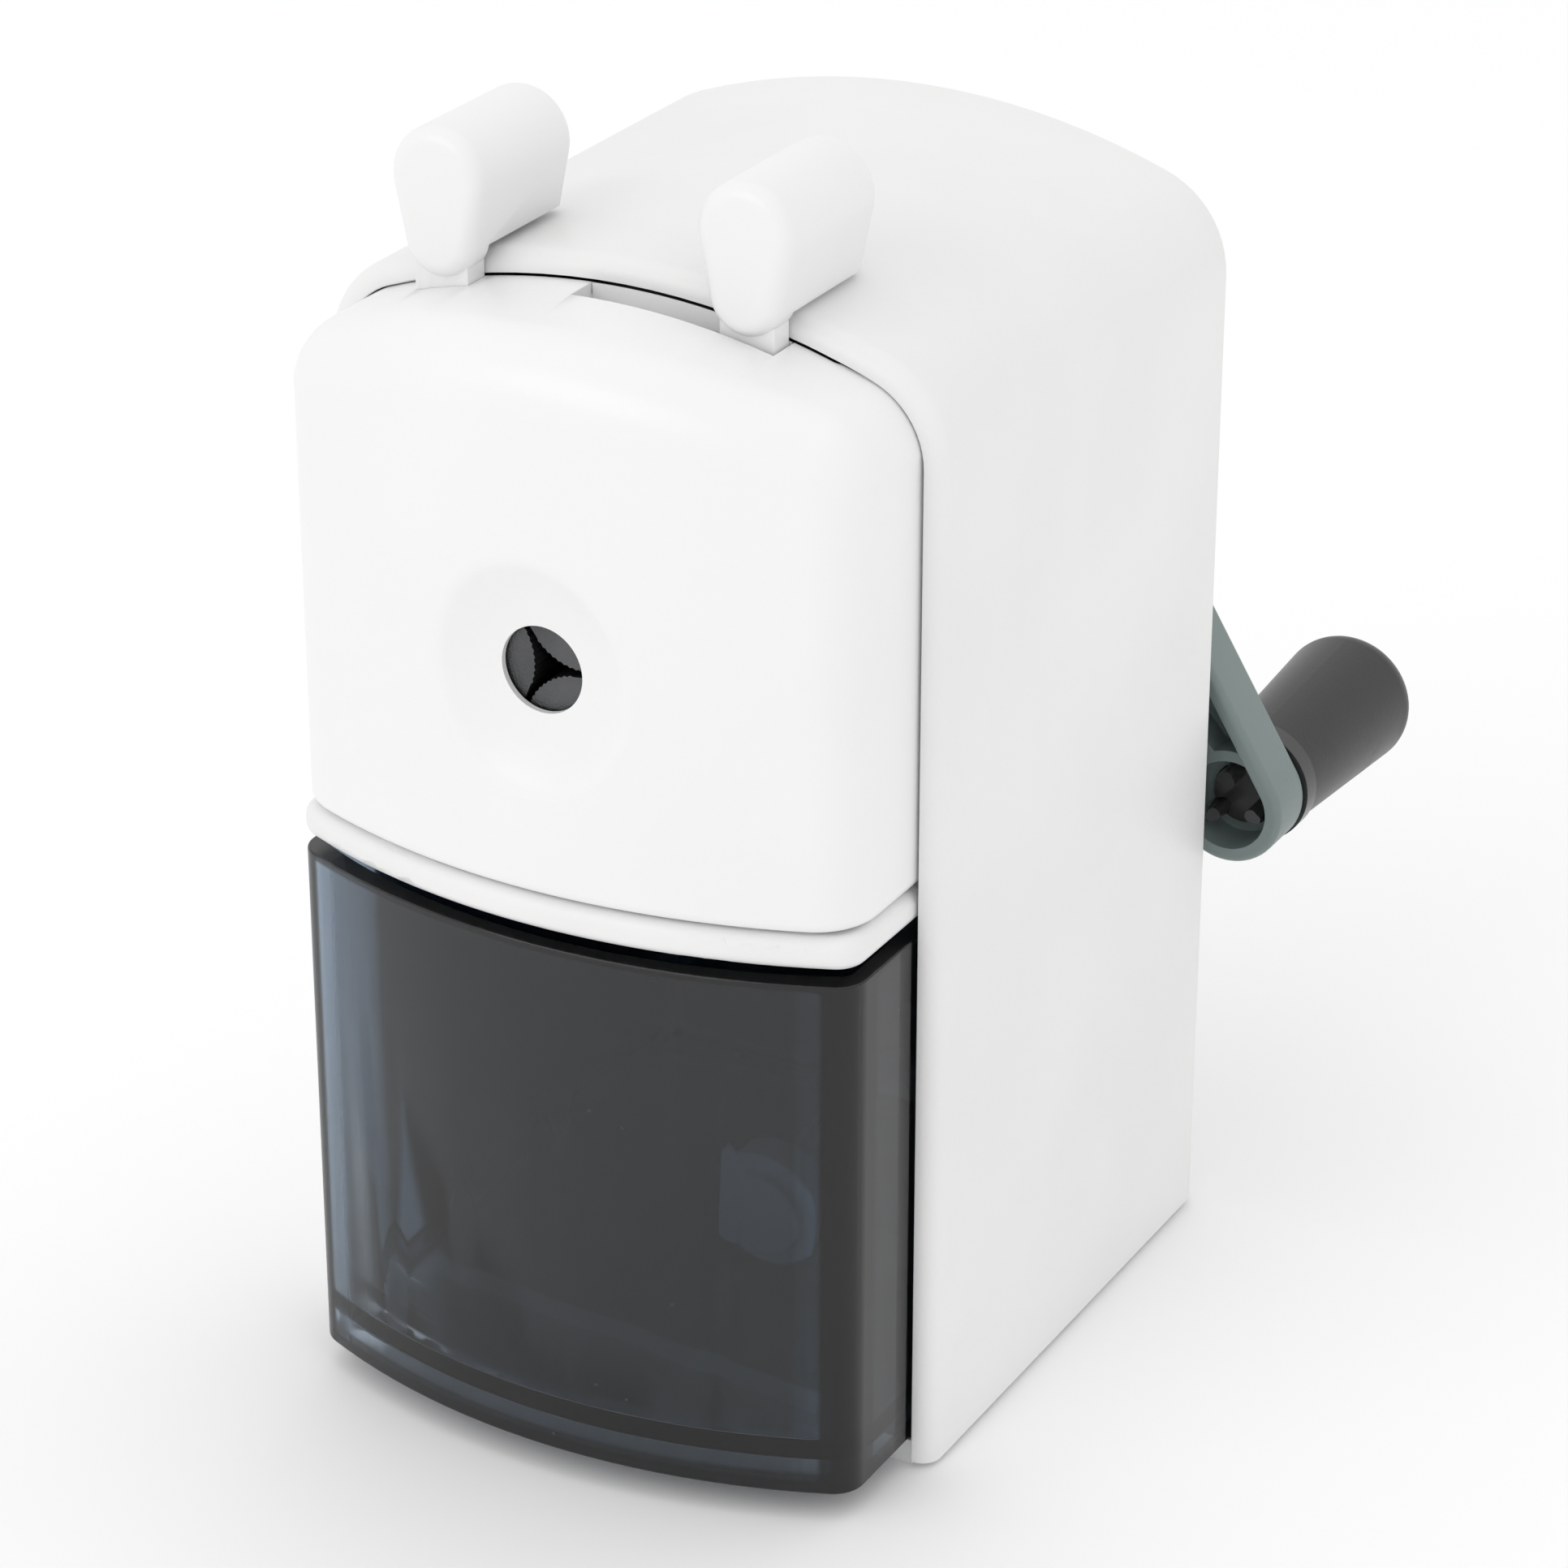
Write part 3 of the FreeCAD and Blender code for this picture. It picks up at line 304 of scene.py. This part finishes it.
# radius of the eased edges, in millimetres
EASED = {"casing_shell": 0.12, "front_cover": 0.20, "inner_frame": 0.20, "base_plate": 0.30,
         "fixed_lever": 0.35, "lever_ring": 0.25, "release_lever_head": 0.35, "crank_arm": 0.25,
         "knob_bush": 0.35, "drawer_tray": 0.22, "clamp_bracket": 0.35, "clamp_thumb_knob": 0.30,
         "carrier_plate": 0.12, "crank_screw": 0.12, "frame_screws": 0.12, "base_screws": 0.12}
for part, size in EASED.items():
    eased(part, size * MM)


SPRING_WIRE_R = 0.4 * MM
SPRING_TURNS = 10
STEPS_A_TURN = 20


def spring(node):
    """Coil spring in the place of a return spring; it keeps its rest length as the carriage moves."""
    low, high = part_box(node)
    centre = (low + high) / 2
    reach = (high.x - low.x) / 2 - SPRING_WIRE_R
    steps = STEPS_A_TURN * SPRING_TURNS
    rise = (high.y - low.y - 2 * SPRING_WIRE_R) / steps
    bm = bmesh.new()
    place = Matrix.Translation((centre.x + reach, low.y + SPRING_WIRE_R, centre.z))
    start = bmesh.ops.create_circle(bm, cap_ends=True, segments=8, radius=SPRING_WIRE_R,
                                    matrix=place)
    bmesh.ops.spin(bm, geom=bm.verts[:] + bm.edges[:] + bm.faces[:], cent=centre, axis=(0, 1, 0),
                   dvec=(0, rise, 0), angle=2 * math.pi * SPRING_TURNS, steps=steps,
                   use_duplicate=False)
    bmesh.ops.recalc_face_normals(bm, faces=bm.faces)
    piece = stand_for(node, node + "_coil", bm)
    travel = next(j for j in frame["joints"] if j["name"] == "carriage_slide")["range_m"][1]
    length = high.y - low.y
    (length - travel) / length
    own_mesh(piece)


for side in ("left", "right"):
    spring("return_spring_" + side)


SILL_Y = -29.3 * MM
SILL_THICK = 0.14 * MM
SILL_TALL = 1.7 * MM
SILL_LEFT_END = math.radians(2.5)
SILL_SWEEP = math.radians(16.2)
CROWN_CENTRE_Z = 41.6 * MM
SILL_FROM_CROWN_CENTRE = 70.78 * MM


def slot_sill():
    """Thin lip of the cover that closes the lever slot behind, following the crown."""
    crown = Vector((0, SILL_Y, CROWN_CENTRE_Z))
    bm = bmesh.new()
    size = Matrix.Diagonal((SILL_THICK, SILL_TALL, 1.0, 1.0))
    turn = Matrix.Rotation(math.pi / 2, 4, "Y") @ Matrix.Rotation(math.pi / 2, 4, "Z")
    lean = Matrix.Rotation(-SILL_LEFT_END, 4, "Y")
    rise = Matrix.Translation((0, 0, SILL_FROM_CROWN_CENTRE))
    place = Matrix.Translation(crown) @ lean @ rise @ turn @ size
    bmesh.ops.create_grid(bm, x_segments=1, y_segments=1, size=0.5, matrix=place)
    bmesh.ops.spin(bm, geom=bm.verts[:] + bm.edges[:] + bm.faces[:], cent=crown, axis=(0, 1, 0),
                   angle=SILL_SWEEP, steps=24, use_duplicate=False)
    bmesh.ops.recalc_face_normals(bm, faces=bm.faces)
    stand_for("front_cover", "slot_sill", bm)


slot_sill()


# ---------------------------------------------------------------- jaws
def ring_of(bm, centre, radius, count, tooth=0.0):
    """Circle of vertices across Y; every other one is drawn in by the depth of a tooth."""
    turn = Matrix.Rotation(math.pi / 2, 4, "X")
    made = bmesh.ops.create_circle(bm, cap_ends=False, segments=count, radius=radius,
                                   matrix=Matrix.Translation(centre) @ turn)["verts"]
    for index, vert in enumerate(made):
        if index % 2:
            vert.co = vert.co.lerp(centre, tooth / radius)
    return made


NOSE_AT = 7.2 * MM
NOSE_R = 6.0 * MM
KNURLS = 60
KNURL_DEPTH = 0.14 * MM
PIN_AT = 11.5 * MM
PIN_AHEAD = math.radians(50)
EAR_R = 2.6 * MM
RIM_BACK = 0.35 * MM
RIM_WIDTH = 1.9 * MM
MIDDLE_RISE = 0.3 * MM
MIDDLE_SLOPE = 0.12 * MM


def round_from_axis(reach, angle, y):
    """Place at a distance and angle from the pencil axis."""
    return Vector((reach * math.cos(angle), y, PENCIL_AXIS_Z + reach * math.sin(angle)))


def jaw(node, angle):
    """Cam jaw: knurled round nose with a raised middle, and an ear on its pin."""
    low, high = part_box(node)
    aim = math.radians(angle)
    rim_y = low.y + RIM_BACK
    nose = round_from_axis(NOSE_AT, aim, rim_y)
    pin = round_from_axis(PIN_AT, aim + PIN_AHEAD, rim_y)
    along = pin - nose
    lean = math.acos((NOSE_R - EAR_R) / along.length)
    bm = bmesh.new()
    nose_round = ring_of(bm, nose, NOSE_R, 2 * KNURLS, KNURL_DEPTH)
    ear_round = ring_of(bm, pin, EAR_R, 32)
    spare = [v for v in nose_round if (v.co - nose).angle(along) < lean]
    spare += [v for v in ear_round if (v.co - pin).angle(along) > lean]
    bmesh.ops.delete(bm, geom=spare, context="VERTS")
    ends = [v for v in bm.verts if len(v.link_edges) == 1]
    near_nose = [v for v in ends if (v.co - nose).length < NOSE_R * 1.01]
    near_pin = [v for v in ends if v not in near_nose]
    for vert in near_nose:
        bm.edges.new((vert, min(near_pin, key=lambda other: (other.co - vert.co).length)))
    face = bmesh.ops.contextual_create(bm, geom=bm.edges[:])["faces"]
    if face[0].normal.y > 0:
        bmesh.ops.reverse_faces(bm, faces=face)
    bmesh.ops.inset_region(bm, faces=face, thickness=RIM_WIDTH, depth=0, use_even_offset=False)
    bmesh.ops.inset_region(bm, faces=face, thickness=MIDDLE_SLOPE, depth=MIDDLE_RISE,
                           use_even_offset=False)
    back = bmesh.ops.extrude_edge_only(bm, edges=[e for e in bm.edges if e.is_boundary])
    bmesh.ops.translate(bm, verts=[g for g in back["geom"] if isinstance(g, bmesh.types.BMVert)],
                        vec=(0, high.y - rim_y, 0))
    bmesh.ops.holes_fill(bm, edges=[e for e in bm.edges if e.is_boundary], sides=0)
    bmesh.ops.recalc_face_normals(bm, faces=bm.faces)
    stand_for(node, node + "_knurled", bm, sharp=20)


for node, angle in (("jaw_upper", 60), ("jaw_side", 180), ("jaw_lower", 300)):
    jaw(node, angle)


# ---------------------------------------------------------------- floor, light and camera
def floor():
    mesh = bpy.data.meshes.new("desk_top")
    bm = bmesh.new()
    bmesh.ops.create_grid(bm, x_segments=1, y_segments=1, size=3.0)
    bm.to_mesh(mesh)
    bm.free()
    desk = bpy.data.objects.new("desk_top", mesh)
    bpy.context.scene.collection.objects.link(desk)
    f = Finish("desk_white", {"Specular IOR Level": 0.2})
    mesh.materials.append(f.varies({
        "Base Color": f.blend(f.noise(0.4, 2.0), tone(0.95), tone(0.97)),
        "Roughness": 0.7 + f.noise(0.05, 2.0) * 0.1}))


def area_light(name, place, aim, size, power):
    light = bpy.data.lights.new(name, "AREA")
    light.shape = "RECTANGLE"
    light.size, light.size_y = size
    light.energy = power
    lamp = bpy.data.objects.new(name, light)
    lamp.location = place
    lamp.rotation_euler = (Vector(place) - Vector(aim)).to_track_quat("Z", "Y").to_euler()
    bpy.context.scene.collection.objects.link(lamp)


def studio():
    world = bpy.data.worlds.new("studio")
    world.use_nodes = True
    backdrop = world.node_tree.nodes["Background"]
    backdrop.inputs["Color"].default_value = (1.0, 1.0, 1.0, 1.0)
    backdrop.inputs["Strength"].default_value = 0.97
    bpy.context.scene.world = world
    bpy.context.scene.view_settings.view_transform = "Standard"
    middle = (0.0, 0.0, 0.06)
    area_light("front_softbox", (-0.35, -1.0, 0.75), middle, (0.9, 0.7), 2.0)
    area_light("top_softbox", (0.1, 0.2, 1.3), middle, (1.2, 1.2), 0.9)


CAMERA_PLACE = (0.2146, -0.3860, 0.2643)
CAMERA_ROUND = math.radians(29.09)
CAMERA_ABOVE = math.radians(25.6)
CAMERA_LENS = 115.35


def camera():
    data = bpy.data.cameras.new("camera")
    data.sensor_width = 36.0
    data.lens = CAMERA_LENS
    data.clip_start = 0.01
    level = math.cos(CAMERA_ABOVE)
    back = Vector((math.sin(CAMERA_ROUND) * level, -math.cos(CAMERA_ROUND) * level,
                   math.sin(CAMERA_ABOVE)))
    seen = bpy.data.objects.new("camera", data)
    seen.location = CAMERA_PLACE
    seen.rotation_euler = back.to_track_quat("Z", "Y").to_euler()
    bpy.context.scene.collection.objects.link(seen)
    bpy.context.scene.camera = seen


floor()
studio()
camera()
